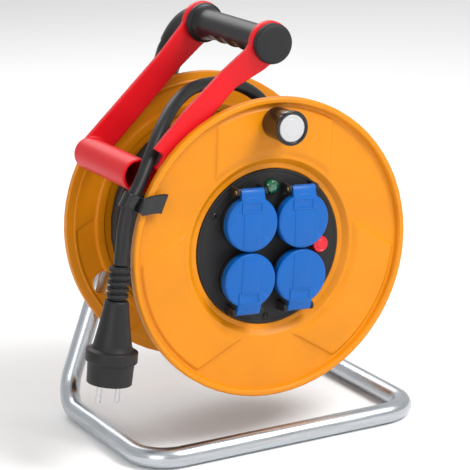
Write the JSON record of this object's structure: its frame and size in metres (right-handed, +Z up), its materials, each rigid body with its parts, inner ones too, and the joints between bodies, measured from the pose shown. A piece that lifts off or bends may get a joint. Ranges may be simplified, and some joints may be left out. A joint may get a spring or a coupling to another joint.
{
  "type": "extension cord reel",
  "caption": "Portable cable reel: a turning plastic drum with covered mains sockets on a bent steel tube stand, with a carrying grip, a hinged cable guide, a crank knob and a hanging plug.",
  "frame": {"origin": "on the floor, under the middle of the reel without its free cable and plug", "axes": "+Z up; the drum turns about an axle along Y, and its socket side faces -Y; +X is to the right of a person facing the sockets"},
  "size_m": [0.3488, 0.2304, 0.4073],
  "materials": {
    "yellow_plastic": "smooth injection-moulded, satin gloss",
    "black_plastic": "fine moulded grain",
    "black_rubber": "matt cable rubber",
    "zinc_steel": "galvanised, softly spangled",
    "brass": "turned",
    "blue_plastic": "fine satin",
    "bearing_plastic": "natural acetal",
    "green_lens": "clear, polished",
    "button_red": "satin",
    "grey_label": "plain disc, no marking",
    "red_plastic": "smooth injection-moulded, satin gloss"
  },
  "bodies": {
    "frame": {"frame_tube": "zinc_steel", "axle_plate": "zinc_steel", "axle": "zinc_steel", "axle_circlip": "zinc_steel", "axle_washer": "zinc_steel", "axle_nut": "zinc_steel", "frame_bolt_left": "zinc_steel", "frame_bolt_right": "zinc_steel", "frame_nut_left": "zinc_steel", "frame_nut_right": "zinc_steel", "leg_plug": "black_plastic", "handle_elbow": "black_plastic", "grip": "black_plastic", "end_cap": "black_plastic", "rim_clip": "black_plastic", "cable_tail": "black_rubber", "plug_boot": "black_rubber", "plug_body": "black_rubber", "plug_pin_1": "zinc_steel", "plug_pin_2": "zinc_steel"},
    "drum": {"front_flange": "yellow_plastic", "rear_flange": "yellow_plastic", "hub_barrel": "black_plastic", "bush_front": "bearing_plastic", "bush_rear": "bearing_plastic", "cable_gland": "black_plastic", "cable_winding": "black_rubber", "crank_pin": "zinc_steel", "socket_panel": "black_plastic", "indicator_lens": "green_lens", "thermal_cutout": "black_plastic", "panel_screw_1": "black_plastic", "panel_screw_2": "black_plastic", "panel_screw_3": "black_plastic", "drum_screw_1": "zinc_steel", "drum_screw_2": "zinc_steel", "drum_screw_3": "zinc_steel", "socket_insert_upper_left": "black_plastic", "socket_insert_upper_right": "black_plastic", "socket_insert_lower_left": "black_plastic", "socket_insert_lower_right": "black_plastic", "hinge_pin_upper_left": "brass", "hinge_pin_upper_right": "brass", "hinge_pin_lower_left": "brass", "hinge_pin_lower_right": "brass", "lid_spring_upper_left": "zinc_steel", "lid_spring_upper_right": "zinc_steel", "lid_spring_lower_left": "zinc_steel", "lid_spring_lower_right": "zinc_steel"},
    "crank_knob": {"crank_knob": "black_plastic", "knob_cap": "grey_label"},
    "reset_button": {"reset_button": "button_red"},
    "cable_pilot": {"cable_pilot": "red_plastic"},
    "lid_upper_left": {"lid_upper_left": "blue_plastic"},
    "lid_upper_right": {"lid_upper_right": "blue_plastic"},
    "lid_lower_left": {"lid_lower_left": "blue_plastic"},
    "lid_lower_right": {"lid_lower_right": "blue_plastic"}
  },
  "joints": [
    {"name": "drum_spin", "type": "hinge", "parent": "frame", "child": "drum", "pos_m": [0, -0.00525, 0.1905], "axis": [0, 1, 0], "continuous": true},
    {"name": "knob_spin", "type": "hinge", "parent": "drum", "child": "crank_knob", "pos_m": [0.00903, -0.09525, 0.31066], "axis": [0, -1, 0], "continuous": true},
    {"name": "pilot_swing", "type": "hinge", "parent": "frame", "child": "cable_pilot", "pos_m": [0.0035, -0.00525, 0.387], "axis": [0, 1, 0], "range_deg": [0, 40], "deforming": ["cable_tail"]},
    {"name": "reset_press", "type": "slide", "parent": "drum", "child": "reset_button", "axis": [0, 1, 0], "range_m": [0, 0.0025], "stiffness_N_per_m": 400, "springref_m": -0.001},
    {"name": "lid_hinge_upper_left", "type": "hinge", "parent": "drum", "child": "lid_upper_left", "pos_m": [-0.0229, -0.09005, 0.24998], "axis": [-0.9972, 0, 0.075], "range_deg": [0, 100], "stiffness_Nm_per_rad": 0.02, "springref_deg": -45.84},
    {"name": "lid_hinge_upper_right", "type": "hinge", "parent": "drum", "child": "lid_upper_right", "pos_m": [0.03154, -0.09005, 0.24589], "axis": [-0.9972, 0, 0.075], "range_deg": [0, 100], "stiffness_Nm_per_rad": 0.02, "springref_deg": -45.84},
    {"name": "lid_hinge_lower_left", "type": "hinge", "parent": "drum", "child": "lid_lower_left", "pos_m": [-0.03154, -0.09005, 0.13511], "axis": [0.9972, 0, -0.075], "range_deg": [0, 100], "stiffness_Nm_per_rad": 0.02, "springref_deg": -45.84},
    {"name": "lid_hinge_lower_right", "type": "hinge", "parent": "drum", "child": "lid_lower_right", "pos_m": [0.0229, -0.09005, 0.13102], "axis": [0.9972, 0, -0.075], "range_deg": [0, 100], "stiffness_Nm_per_rad": 0.02, "springref_deg": -45.84}
  ]
}
